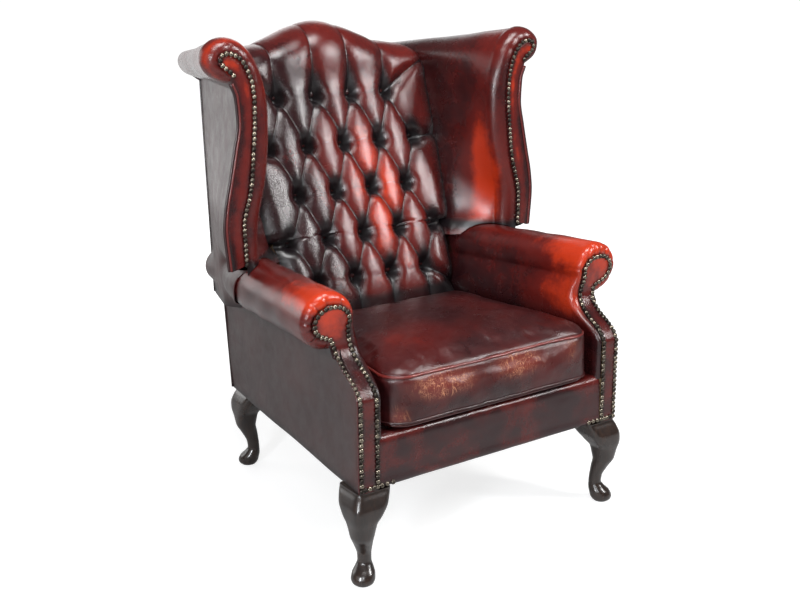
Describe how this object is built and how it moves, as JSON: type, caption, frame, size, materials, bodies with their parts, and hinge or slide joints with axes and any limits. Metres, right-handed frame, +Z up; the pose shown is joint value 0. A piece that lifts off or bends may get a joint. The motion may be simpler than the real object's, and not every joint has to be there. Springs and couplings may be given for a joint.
{
  "type": "buttoned leather wing chair",
  "caption": "High-back leather wing chair with a deep-buttoned back, scrolled wings, rolled arms, loose seat cushion and short cabriole legs; worn and rubbed.",
  "frame": {"origin": "on the floor, under the middle of the chair's bounding box", "axes": "+Z up; the front of the chair faces -Y; the sitter's left arm is at +X"},
  "size_m": [0.8722, 0.8216, 1.0646],
  "materials": {
    "oxblood_leather": "antiqued, satin, darker in folds and seams",
    "oxblood_leather_rubbed": "antiqued, rubbed to bright red on raised areas, polished by use",
    "seat_leather_worn": "worn, wrinkled, scratched through at the front edge",
    "leg_wood_dark": "dark brown stain, satin lacquer",
    "beech_frame": "bare sawn hardwood",
    "plywood_panel": "bare plywood",
    "upholstery_foam": "foam and wadding",
    "elastic_webbing": "woven",
    "platform_cloth": "matt woven",
    "dust_cloth": "matt black",
    "hessian": "coarse woven",
    "zinc_steel": "zinc plated"
  },
  "bodies": {
    "root": {"leg_front_left": "leg_wood_dark", "leg_front_right": "leg_wood_dark", "leg_back_left": "leg_wood_dark", "leg_back_right": "leg_wood_dark", "corner_block_front_left": "beech_frame", "corner_block_front_right": "beech_frame", "corner_block_back_left": "beech_frame", "corner_block_back_right": "beech_frame", "leg_bolt_front_left": "zinc_steel", "leg_bolt_front_right": "zinc_steel", "leg_bolt_back_left": "zinc_steel", "leg_bolt_back_right": "zinc_steel", "front_rail": "beech_frame", "back_rail": "beech_frame", "side_rail_left": "beech_frame", "side_rail_right": "beech_frame", "seat_webbing": "elastic_webbing", "seat_platform": "platform_cloth", "dust_cover": "dust_cloth", "front_rail_cover": "oxblood_leather", "lower_back_cover": "oxblood_leather", "arm_cover_left": "oxblood_leather_rubbed", "arm_cover_right": "oxblood_leather_rubbed", "arm_padding_left": "upholstery_foam", "arm_padding_right": "upholstery_foam", "arm_outside_left": "oxblood_leather", "arm_outside_right": "oxblood_leather", "arm_facing_left": "oxblood_leather_rubbed", "arm_facing_right": "oxblood_leather_rubbed", "arm_post_left": "beech_frame", "arm_post_right": "beech_frame", "arm_rail_left": "beech_frame", "arm_rail_right": "beech_frame", "arm_stump_left": "beech_frame", "arm_stump_right": "beech_frame", "wing_frame_left": "plywood_panel", "wing_frame_right": "plywood_panel", "wing_outside_left": "oxblood_leather", "wing_outside_right": "oxblood_leather", "wing_facing_left": "oxblood_leather_rubbed", "wing_facing_right": "oxblood_leather_rubbed", "wing_pad_left": "oxblood_leather_rubbed", "wing_pad_right": "oxblood_leather_rubbed", "back_post_left": "beech_frame", "back_post_right": "beech_frame", "stay_rail": "beech_frame", "tacking_rail": "beech_frame", "crest_rail": "beech_frame", "back_hessian": "hessian", "back_pad": "oxblood_leather", "outside_back": "oxblood_leather", "button_row_1": "oxblood_leather", "button_row_2": "oxblood_leather", "button_row_3": "oxblood_leather", "button_row_4": "oxblood_leather", "button_row_5": "oxblood_leather", "cushion_cover": "seat_leather_worn", "cushion_foam": "upholstery_foam"}
  },
  "joints": []
}
